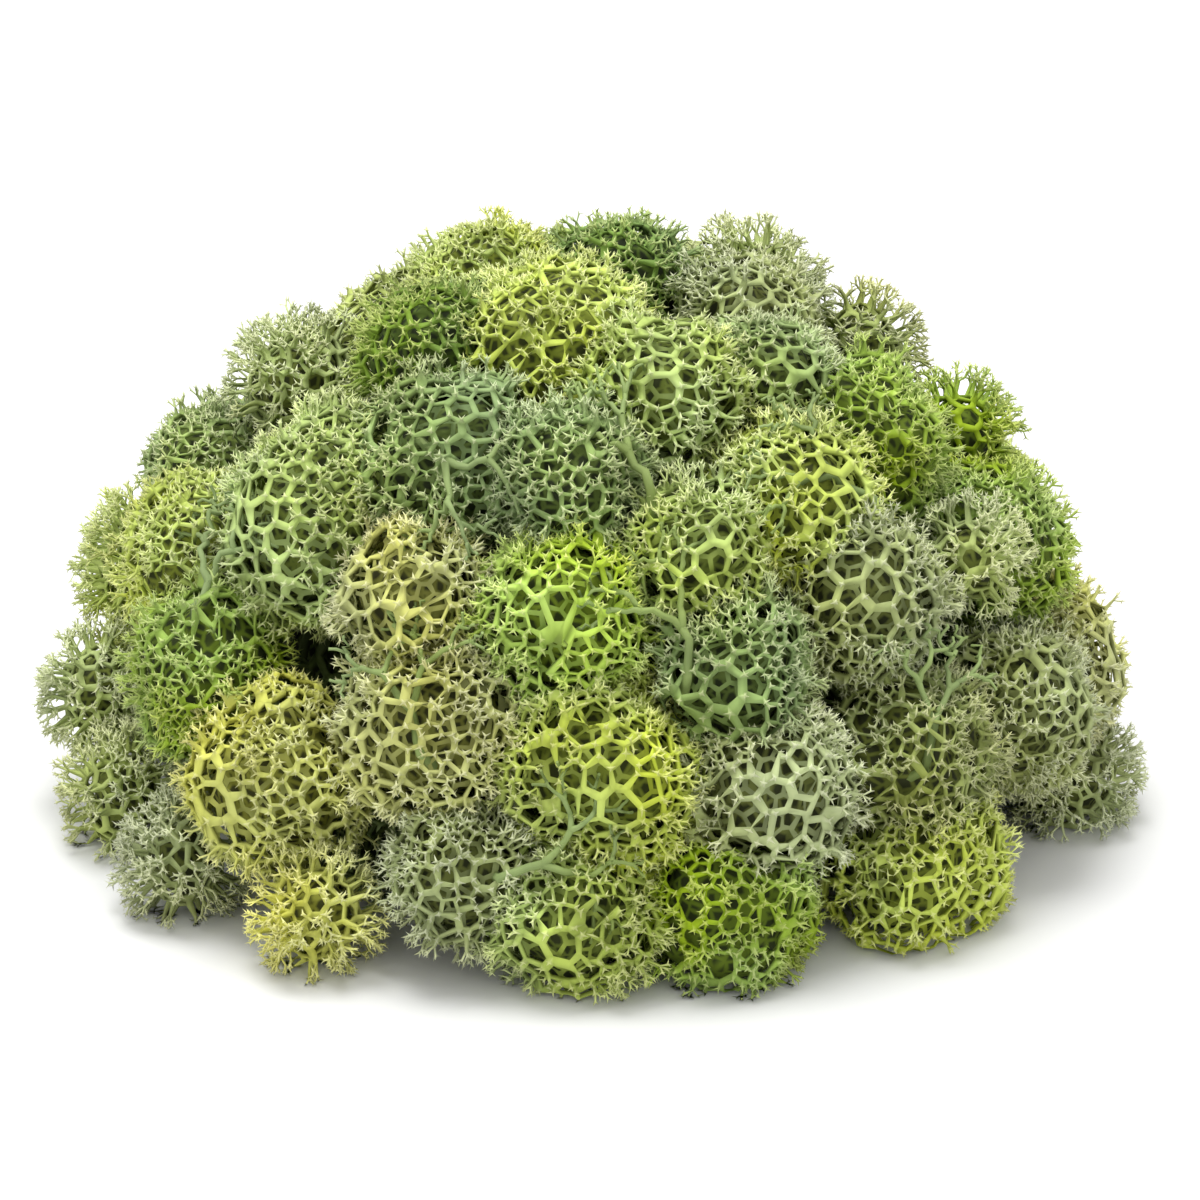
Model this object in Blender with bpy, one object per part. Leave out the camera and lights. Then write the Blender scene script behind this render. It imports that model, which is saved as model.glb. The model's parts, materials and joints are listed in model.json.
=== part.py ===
"""A clump of preserved reindeer moss, resting on its underside.

The clump is a domed handful of separate moss heads. Each head is a rounded crown of stiff, hollow
branches that leave one woody middle, fork, and end in fine tips. A mat of older, tangled stems fills the
middle of the clump and carries the heads: each sits on the mat with its own stem or its flat
underside. Branches of neighbouring heads press on each other, and nothing else holds the clump.

Frame: +Z up, +X to the right seen from the front, -Y towards the viewer, origin at the middle of the
base. Lengths are in metres. A head's place is given by two angles: `around` turns from the front
towards the right, and `up` rises from the base.
"""

import math
import random

import bmesh
import bpy
from mathutils import Matrix, Vector
from mathutils.bvhtree import BVHTree

MM = 0.001

# The dome that the branch tips reach
HALF_WIDTH = 105 * MM
HALF_DEPTH = 95 * MM
HEIGHT = 112 * MM
SINK = 0.92  # a head's middle lies this share of its radius inside the dome
LAYER = 34 * MM  # thickness of the layer of heads over the mat of stems

GAP = 0.3 * MM  # clearance between branches of neighbouring heads
FLOOR_CLEARANCE = 0.6 * MM  # the lowest twigs stay this far above the resting plane
TWIG_HEIGHT = 0.4  # lowest twigs over the resting plane, as a share of the head's radius
PROP_WIDTH = 0.40  # width of a pressing branch, as a share of the head's radius
LEAST_PROP = 0.04  # a pressing branch stands at least this share of the radius out of the middle
MOST_PROPS = 4
SHELTERED = 0.0  # the side of a head that faces further in than this has no short points
SEED = 41
MOST_TRIES = 24  # a head whose branches cross is grown again from the next seed
TRIES_A_PROP = 6  # after this many tries a head does with one pressing branch fewer
NEXT_SEED = {"bluegreen_side": 3}  # heads that skip their first seeds

# Habit: (radius of the dense middle, reach of its knobs, reach of the stems, reach of the forks,
# stem width, number of twigs). All but the last are shares of the head's radius.
HABITS = {
    "tuft": (0.80, 0.93, 0.88, None, 0.15, 13),
    "lace": (0.72, 0.86, 0.86, None, 0.17, 13),
    "antler": (0.48, 0.62, 0.64, 0.82, 0.13, 8),
}

# name: (around in degrees, up in degrees, radius in mm, tint, habit)
HEADS = {
    # crest
    "lime_crown": (-137, 71, 14, "lime", "tuft"),
    "deep_sage": (-60, 69, 14, "deep", "tuft"),
    "deep_green": (150, 84, 14, "deep", "tuft"),
    "sage_crest": (126, 68, 17, "sage", "antler"),
    "grey_sage": (78, 72, 14, "grey", "lace"),
    "olive_crest": (108, 56, 16, "olive", "antler"),
    "lime_top": (-22, 78, 19, "lime", "tuft"),
    "mint_stems": (19, 66, 16, "mint", "lace"),
    "blue_sage": (50, 64, 12, "blue", "lace"),
    # left shoulder and flank
    "pale_crest": (-105, 51, 17, "sage", "antler"),
    "slate_shoulder": (-102, 36, 16, "blue", "tuft"),
    "mint_large": (-51, 45, 21, "mint", "lace"),
    "teal_large": (-29, 55, 18, "teal", "lace"),
    "teal_small": (-5, 53, 15, "teal", "tuft"),
    "pale_flank": (-96, 25, 17, "lime", "antler"),
    "lime_shoulder": (-73, 34, 16, "lime", "tuft"),
    "bluegreen_side": (-55, 24, 16, "green", "tuft"),
    "sage_edge": (-84, 14, 16, "sage", "antler"),
    "sage_foot_left": (-72, 3, 18, "sage", "antler"),
    # right shoulder and flank
    "lime_lace": (36, 48, 18, "lime", "lace"),
    "moss_green": (63, 53, 17, "green", "tuft"),
    "green_fork": (95, 43, 15, "green", "antler"),
    "green_flank": (78, 34, 17, "green", "tuft"),
    "light_lace": (16, 44, 14, "mint", "lace"),
    "grey_lace": (39, 37, 17, "grey", "lace"),
    "sage_antler": (58, 36, 14, "sage", "antler"),
    "cream_flank": (84, 17, 20, "cream", "lace"),
    "sage_side": (62, 18, 16, "grey", "lace"),
    "grey_foot_right": (80, 2, 18, "grey", "antler"),
    # front
    "cream_cushion": (-25, 38, 15, "cream", "lace"),
    "vivid_cushion": (-4, 38, 17, "vivid", "lace"),
    "ring_lace": (18, 31, 16, "teal", "lace"),
    "cream_stems": (-19, 25, 18, "cream", "lace"),
    "straw_cushion": (-40, 16, 19, "straw", "lace"),
    "light_cushion": (1, 21, 20, "lime", "lace"),
    "ivory_cushion": (20, 19, 17, "ivory", "lace"),
    "olive_cushion": (40, 19, 16, "olive", "tuft"),
    # foot of the front
    "grey_foot_left": (-52, 4, 15, "grey", "antler"),
    "yellow_foot": (-29, 5, 17, "straw", "antler"),
    "grey_stems": (-14, 11, 13, "grey", "lace"),
    "mint_foot": (-2, 7, 17, "mint", "lace"),
    "green_foot": (15, 6, 17, "green", "tuft"),
    "yellow_flank": (40, 6, 19, "lime", "lace"),
    # back, where the heads are broader and fewer
    "back_foot_1": (106, 7, 24, "sage", "lace"),
    "back_foot_2": (130, 7, 24, "lime", "lace"),
    "back_foot_3": (153, 7, 24, "grey", "lace"),
    "back_foot_4": (177, 7, 24, "mint", "lace"),
    "back_foot_5": (-160, 7, 24, "straw", "lace"),
    "back_foot_6": (-137, 7, 24, "teal", "lace"),
    "back_foot_7": (-113, 7, 24, "sage", "lace"),
    "back_high_1": (113, 29, 22, "mint", "lace"),
    "back_high_2": (142, 32, 24, "sage", "lace"),
    "back_high_3": (171, 32, 24, "lime", "lace"),
    "back_high_4": (-161, 32, 24, "grey", "lace"),
    "back_high_5": (-130, 32, 24, "olive", "lace"),
    "back_top_1": (152, 56, 22, "grey", "lace"),
    "back_top_2": (-172, 58, 22, "mint", "lace"),
    "back_top_3": (-138, 52, 20, "sage", "lace"),
}

TINTS = {
    "lime": (0.42, 0.47, 0.11),
    "deep": (0.10, 0.20, 0.03),
    "sage": (0.32, 0.38, 0.18),
    "grey": (0.26, 0.33, 0.17),
    "olive": (0.24, 0.28, 0.10),
    "mint": (0.31, 0.40, 0.15),
    "blue": (0.18, 0.27, 0.12),
    "green": (0.15, 0.29, 0.03),
    "vivid": (0.27, 0.42, 0.06),
    "teal": (0.20, 0.30, 0.14),
    "cream": (0.50, 0.50, 0.20),
    "straw": (0.48, 0.49, 0.14),
    "ivory": (0.44, 0.48, 0.25),
    "shaded": (0.07, 0.09, 0.04),
}


class Head:
    """One moss head: where it grows, how far it reaches, and the walls that part it from the rest."""

    def __init__(self, name, centre, outward, radius, tint, habit):
        self.name = name
        self.centre = centre
        self.outward = outward
        self.radius = radius
        self.tint = tint
        self.middle, self.knob, self.stem_reach, self.fork_reach, self.stem_width, self.twigs = habit
        self.walls = []

    def room(self, direction):
        """How far the head may reach along a unit direction before it meets a wall."""
        reach = 2 * self.radius
        for normal, distance in self.walls:
            towards = direction.dot(normal)
            if towards > 1e-6:
                reach = min(reach, distance / towards)
        return reach


def all_heads():
    heads = []
    for name, (around, up, radius, tint, habit) in HEADS.items():
        turn, rise = math.radians(around), math.radians(up)
        surface = Vector((
            HALF_WIDTH * math.cos(rise) * math.sin(turn),
            -HALF_DEPTH * math.cos(rise) * math.cos(turn),
            HEIGHT * math.sin(rise),
        ))
        outward = Vector((
            surface.x / HALF_WIDTH**2, surface.y / HALF_DEPTH**2, surface.z / HEIGHT**2
        )).normalized()
        centre = surface - outward * SINK * radius * MM
        heads.append(Head(name, centre, outward, radius * MM, tint, HABITS[habit]))
    return heads


def part_neighbours(heads):
    """Gives each pair of overlapping heads a flat wall between them, nearer the smaller one."""
    for index, one in enumerate(heads):
        for other in heads[index + 1:]:
            apart = other.centre - one.centre
            distance = apart.length
            if distance > one.radius + other.radius:
                continue
            share = (distance**2 + one.radius**2 - other.radius**2) / (2 * distance)
            normal = apart.normalized()
            one.walls.append((normal, share - GAP / 2))
            other.walls.append((-normal, distance - share - GAP / 2))
            least = min(share / one.radius, (distance - share) / other.radius)
            if least < 0.35:
                print(f"{one.name} and {other.name} crowd each other: {least:.2f}")


def part_from_mat(heads):
    """Gives each head a wall under it, square to the dome. The planes of these walls bound the mat."""
    planes = []
    for head in heads:
        depth = LAYER - SINK * head.radius
        head.walls.append((-head.outward, depth - GAP / 2))
        planes.append((head.centre - head.outward * (depth + GAP / 2), head.outward))
    return planes


def cut_flat(bm, point, normal):
    """Takes away what lies beyond a plane and closes the cut."""
    cut = bmesh.ops.bisect_plane(
        bm,
        geom=bm.verts[:] + bm.edges[:] + bm.faces[:],
        dist=1e-6,
        plane_co=point,
        plane_no=normal,
        clear_outer=True,
    )
    rim = [item for item in cut["geom_cut"] if isinstance(item, bmesh.types.BMEdge)]
    if rim:
        bmesh.ops.edgeloop_fill(bm, edges=rim)


def stem_mat(planes):
    """The tangle of older stems in the middle of the clump: one facet under each head."""
    bm = bmesh.new()
    bmesh.ops.create_icosphere(bm, subdivisions=1, radius=2 * HEIGHT)
    for point, normal in planes:
        cut_flat(bm, point, normal)
    cut_flat(bm, Vector((0, 0, 0)), Vector((0, 0, -1)))
    bmesh.ops.recalc_face_normals(bm, faces=bm.faces[:])
    return bm


def add_middle(bm, head):
    """The dense middle: a ball with a flat wherever it meets a wall or the resting plane."""
    reach = head.middle * head.radius
    bmesh.ops.create_icosphere(
        bm, subdivisions=2, radius=reach, matrix=Matrix.Translation(head.centre)
    )
    for normal, distance in head.walls + [(Vector((0, 0, -1)), head.centre.z)]:
        if distance < reach:
            cut_flat(bm, head.centre + normal * distance, normal)
    bmesh.ops.recalc_face_normals(bm, faces=bm.faces[:])


def whole_faces(bm, head):
    """The faces of the ball that no flat has cut, with the direction of each from the head's centre."""
    reach = head.middle * head.radius
    whole = []
    for face in bm.faces:
        out = face.calc_center_median() - head.centre
        share = face.calc_area() / reach**2
        if len(face.verts) == 3 and 0.12 < share < 0.18 and 0.91 < out.length / reach < 0.96:
            whole.append((face, out.normalized()))
    return whole


def move_cap(face, middle, axis, width):
    """Squares a face up to an axis, at a new middle and with a new half-width."""
    old = face.calc_center_median()
    spokes = [vert.co - old - axis * (vert.co - old).dot(axis) for vert in face.verts]
    longest = max(spoke.length for spoke in spokes)
    for vert, spoke in zip(face.verts, spokes):
        vert.co = middle + spoke * (width / longest)


def add_props(bm, head, taken, most):
    """Branches that press on the neighbours: each ends square on a wall that the ball doesn't reach."""
    grown = 0
    mat_first = sorted(head.walls, key=lambda wall: (wall[0].dot(-head.outward) < 0.999, wall[1]))
    for normal, distance in mat_first:
        stand = distance - head.middle * head.radius
        if stand < LEAST_PROP * head.radius or grown == most:
            continue
        half_width = 0.5 * PROP_WIDTH * head.radius
        end = head.centre + normal * distance
        if end.z < half_width + FLOOR_CLEARANCE:
            continue
        clear = all(
            (normal * distance).dot(other) < reach - half_width
            for other, reach in head.walls
            if other.dot(normal) < 0.999
        )
        if not clear:
            continue
        face, out = max(whole_faces(bm, head), key=lambda pair: pair[1].dot(normal))
        if out.dot(normal) < 0.90 or any(vert in taken for vert in face.verts):
            continue
        taken.update(face.verts)
        cap = bmesh.ops.extrude_discrete_faces(bm, faces=[face])["faces"][0]
        move_cap(cap, end, normal, half_width)
        grown += 1
    return grown


def open_faces(bm, head):
    """The faces on the open side of the head, where nothing presses on it."""
    return [
        (face, out)
        for face, out in whole_faces(bm, head)
        if head.room(out) > 0.90 * head.radius
        and (head.centre + out * head.radius).z > FLOOR_CLEARANCE + TWIG_HEIGHT * head.radius
    ]


def add_knobs(bm, head, rng):
    """Short points on the outer faces that carry no twig, so that none of the middle is smooth."""
    plain = [
        face
        for face, out in whole_faces(bm, head)
        if out.dot(head.outward) > SHELTERED
        and head.room(out) > 1.02 * head.knob * head.radius
        and (head.centre + out * head.radius).z > FLOOR_CLEARANCE
    ]
    for face in plain:
        point = bmesh.ops.poke(bm, faces=[face])["verts"][0]
        out = (point.co - head.centre).normalized()
        point.co = kept_inside(head, out, head.knob * head.radius * rng.uniform(0.92, 1.04))


def add_twigs(bm, head, taken, rng):
    """Twigs that leave the open side of the ball, fork in three and end in points."""
    ready = open_faces(bm, head)
    rng.shuffle(ready)
    chosen = []
    for face, out in ready:
        if len(chosen) < head.twigs and not any(vert in taken for vert in face.verts):
            taken.update(face.verts)
            chosen.append((face, out))
    if not chosen:
        return 0
    ways = {}
    corners = {}
    stems = bmesh.ops.extrude_discrete_faces(bm, faces=[face for face, _ in chosen])["faces"]
    for face in stems:
        out = (face.calc_center_median() - head.centre).normalized()
        base = [(vert.co - head.centre).normalized() for vert in face.verts]
        reach = head.stem_reach * head.radius * rng.uniform(0.94, 1.04)
        move_cap(face, head.centre + out * reach, out, 0.5 * head.stem_width * head.radius)
        ways[face] = out
        corners[face] = base
    if head.fork_reach is None:
        for face in stems:
            fork(bm, head, face, ways[face], corners[face], 1.35, 1.0, rng)
        return len(stems)
    for face in stems:
        for branch, way in branch_out(bm, head, face, ways[face], corners[face], rng):
            side = [way.lerp(corner, 0.5).normalized() for corner in corners[face]]
            fork(bm, head, branch, way, side, 0.9, 1.0, rng)
    return len(stems)


def thirds(bm, face):
    """Splits a cap into three faces round a new middle."""
    return bmesh.ops.poke(bm, faces=[face])["faces"]


def spread_way(third, middle, out, corners, spread):
    """The way that one third of a cap leans: towards the side of the base that it lies over."""
    lean = third.calc_center_median() - middle
    near = sorted(corners, key=lambda corner: -(corner - out * corner.dot(out)).dot(lean))
    side = (near[0] + near[1]) / 2
    return (out + (side - out) * spread).normalized()


def kept_inside(head, way, reach):
    """The end of a branch, drawn back where it would cross a wall or the resting plane."""
    reach = min(reach, 0.97 * head.room(way))
    end = head.centre + way * reach
    if end.z < FLOOR_CLEARANCE and way.z < 0:
        end = head.centre + way * ((head.centre.z - FLOOR_CLEARANCE) / -way.z)
    return end


def fork(bm, head, face, out, corners, spread, reach, rng):
    """Splits a branch's end into three points."""
    middle = face.calc_center_median()
    for third in thirds(bm, face):
        way = spread_way(third, middle, out, corners, spread * rng.uniform(0.8, 1.1))
        point = bmesh.ops.poke(bm, faces=[third])["verts"][0]
        point.co = kept_inside(head, way, reach * head.radius * rng.uniform(0.93, 1.0))


def branch_out(bm, head, face, out, corners, rng):
    """Splits a stem into three branches, and gives back their ends and the ways that they lean."""
    middle = face.calc_center_median()
    parts = thirds(bm, face)
    ways = [spread_way(part, middle, out, corners, 0.95 * rng.uniform(0.85, 1.1)) for part in parts]
    ends = []
    for part, way in zip(parts, ways):
        end = bmesh.ops.extrude_discrete_faces(bm, faces=[part])["faces"][0]
        place = kept_inside(head, way, head.fork_reach * head.radius * rng.uniform(0.95, 1.03))
        move_cap(end, place, way, 0.33 * head.stem_width * head.radius)
        ends.append((end, way))
    return ends


def crosses_itself(bm):
    """Whether any two faces that share no corner cut each other."""
    bm.faces.ensure_lookup_table()
    tree = BVHTree.FromBMesh(bm)
    return any(
        one < other and not set(bm.faces[one].verts) & set(bm.faces[other].verts)
        for one, other in tree.overlap(tree)
    )


def grow_head(head, seed):
    """A head's solid, from the first of its seeds that lets no two branches cross."""
    for attempt in range(MOST_TRIES):
        bm = bmesh.new()
        rng = random.Random(seed + attempt)
        add_middle(bm, head)
        taken = set()
        props = add_props(bm, head, taken, MOST_PROPS - attempt // TRIES_A_PROP)
        twigs = add_twigs(bm, head, taken, rng)
        add_knobs(bm, head, rng)
        bmesh.ops.triangulate(bm, faces=bm.faces[:])
        bmesh.ops.recalc_face_normals(bm, faces=bm.faces[:])
        if not crosses_itself(bm):
            print(f"{head.name}: {props} props, {twigs} twigs, {len(bm.faces)} triangles, try {attempt}")
            return bm
        bm.free()
    raise RuntimeError(f"{head.name} crosses itself from every seed: {props} props, {twigs} twigs")


def moss_material(tint):
    found = bpy.data.materials.get(f"moss_{tint}")
    if found:
        return found
    material = bpy.data.materials.new(f"moss_{tint}")
    material.use_nodes = True
    shader = material.node_tree.nodes["Principled BSDF"]
    shader.inputs["Base Color"].default_value = (*TINTS[tint], 1)
    shader.inputs["Roughness"].default_value = 0.85
    shader.inputs["Metallic"].default_value = 0
    material.diffuse_color = (*TINTS[tint], 1)
    return material


def build():
    for old in list(bpy.data.objects):
        bpy.data.objects.remove(old, do_unlink=True)
    clump = bpy.data.collections.new("reindeer_moss_clump")
    bpy.context.scene.collection.children.link(clump)
    heads = all_heads()
    part_neighbours(heads)
    planes = part_from_mat(heads)
    grown = [("stem_mat", "shaded", stem_mat(planes))]
    for index, head in enumerate(heads):
        seed = SEED + 100 * index + NEXT_SEED.get(head.name, 0)
        grown.append((head.name, head.tint, grow_head(head, seed)))
    points = [vert.co for _, _, bm in grown for vert in bm.verts]
    shift = Vector((
        -(min(p.x for p in points) + max(p.x for p in points)) / 2,
        -(min(p.y for p in points) + max(p.y for p in points)) / 2,
        -min(p.z for p in points),
    ))
    print("shift in mm:", [round(part / MM, 2) for part in shift])
    for name, tint, bm in grown:
        bmesh.ops.translate(bm, vec=shift, verts=bm.verts[:])
        mesh = bpy.data.meshes.new(name)
        bm.to_mesh(mesh)
        bm.free()
        mesh.materials.append(moss_material(tint))
        clump.objects.link(bpy.data.objects.new(name, mesh))


build()
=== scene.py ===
# %% [markdown]
# # A clump of reindeer moss
#
# Reindeer moss is a lichen. Each head is a ball of hollow branches that keep forking until they end
# in fine tips. Seen from outside, the branches of a head join into a lace: wide rings where the
# crown opens, finer and finer meshes towards its rim, and a fringe of forked tips all round.
#
# The CAD model says where every head sits and how far it reaches. This script reads those places
# from the frame and weaves a fine lace over each of them.

import json
import math
import random
from types import SimpleNamespace

import bmesh
import bpy
import numpy as np
from mathutils import Matrix, Vector, noise


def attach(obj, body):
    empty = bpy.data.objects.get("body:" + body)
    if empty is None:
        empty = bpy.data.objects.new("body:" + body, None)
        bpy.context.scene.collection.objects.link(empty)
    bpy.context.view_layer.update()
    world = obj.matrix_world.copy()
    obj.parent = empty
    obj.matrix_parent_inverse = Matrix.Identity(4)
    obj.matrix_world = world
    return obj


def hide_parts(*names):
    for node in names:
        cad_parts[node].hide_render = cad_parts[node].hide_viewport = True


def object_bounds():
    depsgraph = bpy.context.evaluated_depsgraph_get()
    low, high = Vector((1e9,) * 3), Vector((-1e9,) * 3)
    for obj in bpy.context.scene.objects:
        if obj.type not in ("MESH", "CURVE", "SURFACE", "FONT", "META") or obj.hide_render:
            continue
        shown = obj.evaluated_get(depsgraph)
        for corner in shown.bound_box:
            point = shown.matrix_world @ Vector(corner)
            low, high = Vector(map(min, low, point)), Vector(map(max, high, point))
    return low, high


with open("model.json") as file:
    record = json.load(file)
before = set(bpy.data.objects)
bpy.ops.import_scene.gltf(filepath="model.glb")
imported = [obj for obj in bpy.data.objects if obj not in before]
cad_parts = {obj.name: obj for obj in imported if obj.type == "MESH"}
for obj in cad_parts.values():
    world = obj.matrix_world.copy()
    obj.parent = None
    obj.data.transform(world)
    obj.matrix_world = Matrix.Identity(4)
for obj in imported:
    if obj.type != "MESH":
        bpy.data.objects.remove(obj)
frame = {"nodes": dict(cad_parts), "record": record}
cad_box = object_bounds()
MM = 0.001
slot_of = {part["node"]: part["material_slot"] for part in frame["record"]["subparts"]}


def in_mm(box):
    """The corners of a box in millimetres, rounded to be printed."""
    return [[round(float(value) / MM, 1) for value in corner] for corner in box]


print("CAD box in mm:", in_mm(cad_box))

# %% [markdown]
# ## Where the heads are
#
# A CAD head is a faceted ball with twigs. Fitting a ball to the outer part of its points gives back
# its middle, and the farthest of those points give its reach. Least squares does this in one step,
# because the equation of a ball is linear in its centre and in one more unknown.

# %% Fit a ball to each head
MAT = "stem_mat"
HEART = np.array([0.0, 0.0, 20 * MM])  # the heads of the pile look away from here
INNER_PERCENT = 35  # of the points of a head, those that look back into the pile
REACH_PERCENT = 96  # of the outer points, those that lie within the reach


def node_points(name):
    """The points of a CAD node, one row each."""
    mesh = frame["nodes"][name].data
    points = np.empty(len(mesh.vertices) * 3)
    mesh.vertices.foreach_get("co", points)
    return points.reshape(-1, 3)


def fitted_ball(points):
    """(centre, reach, outward direction) of a head, from the outer part of its points."""
    outward = points.mean(axis=0) - HEART
    outward /= np.linalg.norm(outward)
    lean = points @ outward
    outer = points[lean > np.percentile(lean, INNER_PERCENT)]
    sides = np.c_[2 * outer, np.ones(len(outer))]
    solved = np.linalg.lstsq(sides, (outer**2).sum(axis=1), rcond=None)[0]
    centre = solved[:3]
    reach = np.percentile(np.linalg.norm(outer - centre, axis=1), REACH_PERCENT)
    return centre, reach, outward


head_names = sorted(name for name in frame["nodes"] if name != MAT)
balls = {name: fitted_ball(node_points(name)) for name in head_names}
centres = np.array([balls[name][0] for name in head_names])
reaches = np.array([balls[name][1] for name in head_names])
for name in head_names:
    centre, reach, _ = balls[name]
    print(f"{name:16s} centre {np.round(centre / MM, 1)} reach {reach / MM:.1f} mm")

# %% [markdown]
# ## Where one head ends and the next begins
#
# Neighbouring balls overlap. The flat wall between two of them is where both have the same power,
# which is the squared distance to the centre less the squared radius. Anything beyond that wall is
# buried in the neighbour and needs no lace.

# %% Measure how far points lie beyond a head's walls
NEIGHBOURHOOD = 60 * MM


def beyond_walls(index, points):
    """How far each point lies past the nearest wall of head number index. Negative is inside."""
    apart = np.linalg.norm(centres - centres[index], axis=1)
    near = [
        other for other in range(len(centres)) if other != index and apart[other] < NEIGHBOURHOOD
    ]
    power = ((points[:, None, :] - centres[None, near, :]) ** 2).sum(axis=2) - reaches[near] ** 2
    own = ((points - centres[index]) ** 2).sum(axis=1) - reaches[index] ** 2
    return ((own[:, None] - power) / (2 * apart[near])).max(axis=1)


# %% [markdown]
# ## Rings of every size
#
# The lace is the net between cells, so the cells come first. Points are thrown at a ball, and each
# one stays only if it is far enough from those before it. The wished distance is wide at the pole
# of the crown and narrow at its rim, which is what turns into large and small rings. Chance varies
# it from point to point, and the points with a wide one mostly go first, since they need the room.

# %% Throw points over a ball
THROWS = 7000
POLE_SPAN = 14  # degrees round the pole where the rings are widest
RIM_SPAN = 44  # degrees from there to where they are narrowest
SHRINKING = 0.7  # below 1 they shrink quickly at first
SIZE_CHANCE = 0.3  # how much the sizes of neighbouring rings differ
SMALLEST, LARGEST = 0.6, 1.7  # bounds of that difference, as factors
ORDER_CHANCE = 0.45  # how often a small ring goes before a large one
BURIED = 1.5 * MM  # a ring this far past a wall is never seen
HIDDEN_PITCH = 5.5 * MM


def random_ways(generator, count):
    """Unit vectors in all directions, one row each."""
    ways = generator.normal(size=(count, 3))
    return ways / np.linalg.norm(ways, axis=1)[:, None]


def spread_points(pitches, directions):
    """The directions that are kept, each at its own pitch (an angle) from the others."""
    kept = np.empty_like(directions)
    sizes = np.empty(len(directions))
    count = 0
    for direction, pitch in zip(directions, pitches):
        if count:
            close = np.cos(0.5 * (sizes[:count] + pitch))
            if (kept[:count] @ direction > close).any():
                continue
        kept[count] = direction
        sizes[count] = pitch
        count += 1
    return kept[:count]


def ring_directions(index, radius, pole, pole_pitch, rim_pitch, generator):
    """Seeds of the cells of a head: wide apart round the pole, close together at the rim."""
    directions = random_ways(generator, THROWS)
    angle = np.degrees(np.arccos(np.clip(directions @ pole, -1, 1)))
    share = np.clip((angle - POLE_SPAN) / RIM_SPAN, 0, 1) ** SHRINKING
    pitch = pole_pitch + (rim_pitch - pole_pitch) * share
    size = np.clip(generator.lognormal(0, SIZE_CHANCE, THROWS), SMALLEST, LARGEST)
    hidden = beyond_walls(index, centres[index] + directions * radius) > BURIED
    pitch = np.where(hidden, HIDDEN_PITCH, pitch * size)
    order = np.argsort(generator.normal(0, ORDER_CHANCE, THROWS) - size, kind="stable")
    return spread_points(pitch[order] / radius, directions[order])


# %% [markdown]
# ## From points to a net
#
# A convex hull joins the points into triangles. Its dual is the net that is wanted, with one cell
# round each point. Three mesh tools make it: poke puts a new point in each triangle, rotating the
# old edges joins those new points, and dissolving the old points leaves the cells.
#
# The net gets two layers for later: `cell` tells the kinds of faces apart, and `reach` says how
# near a vertex is to a tip, from 0 deep inside to 1 at the tip itself. Its low values are also
# painted shade: they darken the colour where a part lies deep in a head. Layers come first, because
# adding one later would cut the references that Python holds to the mesh.

# %% Turn points into cells


def net_of(directions):
    """A closed net on the unit ball with one cell round each direction."""
    bm = bmesh.new()
    bm.faces.layers.int.new("cell")
    bm.verts.layers.float.new("reach")
    seeds = [bm.verts.new(direction) for direction in directions]
    bmesh.ops.convex_hull(bm, input=seeds)
    ridges = bm.edges[:]
    bmesh.ops.poke(bm, faces=bm.faces[:])
    bmesh.ops.rotate_edges(bm, edges=ridges, use_ccw=False)
    bmesh.ops.dissolve_verts(bm, verts=seeds)
    for vert in bm.verts:
        vert.co.normalize()
    if bm.calc_volume(signed=True) < 0:
        bmesh.ops.reverse_faces(bm, faces=bm.faces[:])
    return bm


# %% [markdown]
# ## A freer net
#
# Left like that, the net looks like a honeycomb. In the real lace some branches are missing, so
# that two rings run into one, and no corner sits exactly between its neighbours. Dissolving a few
# short edges does the first, and moving the corners about does the second.

# %% Break and shake the net


def random_step(draw):
    """A step in any direction, mostly one or two units long."""
    return Vector((draw.gauss(0, 1), draw.gauss(0, 1), draw.gauss(0, 1)))


def break_net(bm, share, longest, draw):
    """Leaves out some of the shorter edges of the net, so that neighbouring cells run together."""
    loose = [edge for edge in bm.edges if draw.random() < share and edge.calc_length() < longest]
    bmesh.ops.dissolve_edges(bm, edges=loose, use_verts=True, use_face_split=False)


def shake_net(bm, share, draw):
    """Moves the corners of the net about, by a share of the length of their edges."""
    moves = []
    for vert in bm.verts:
        length = sum(edge.calc_length() for edge in vert.link_edges) / len(vert.link_edges)
        moves.append(random_step(draw) * length * share)
    for vert, move in zip(bm.verts, moves):
        vert.co = (vert.co + move).normalized()


# %% [markdown]
# ## Struts and holes
#
# A bevel widens each edge of the net into a flat strut and each corner into a small junction, and
# what is left of a cell is a hole. Corners that lie closer together than most of a strut's width
# would make broad plates, so those are merged first. A hole is then drawn towards a circle, which
# is how branches close a ring.

# %% Cut the holes
CLOSEST = 1.4  # corners nearer than this many half struts are merged


def cut_holes(bm, strut):
    """Widens every edge of the net into a strut. Gives back (cells, junctions)."""
    bmesh.ops.remove_doubles(bm, verts=bm.verts[:], dist=CLOSEST * strut)
    made = bmesh.ops.bevel(
        bm, geom=bm.edges[:], offset=strut, offset_type="OFFSET", affect="EDGES",
        segments=1, profile=0.5, material=-1, clamp_overlap=False,
    )["faces"]
    new = set(made)
    cells = [face for face in bm.faces if face not in new]
    junctions = [face for face in made if len(face.verts) == 3]
    return cells, junctions


def round_hole(face, roundness, share):
    """Moves the corners of a hole towards a circle, and scales the hole."""
    middle = face.calc_center_median()
    spokes = [vert.co - middle for vert in face.verts]
    mean = sum(spoke.length for spoke in spokes) / len(spokes)
    for vert, spoke in zip(face.verts, spokes):
        length = spoke.length
        wanted = share * (roundness * mean + (1 - roundness) * length)
        vert.co = middle + spoke * (wanted / length)


# %% [markdown]
# ## Forked tips
#
# Every junction of the lace is a triangle, and a twig starts there. Each step extrudes the
# triangle, narrows it, and pokes its end. A poked end is a low pyramid whose three sides lean
# apart, so the next branches spread by themselves. The last poke is a tall one and makes the
# pointed tips, in three heights so that the fringe isn't clipped like a hedge.

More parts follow.
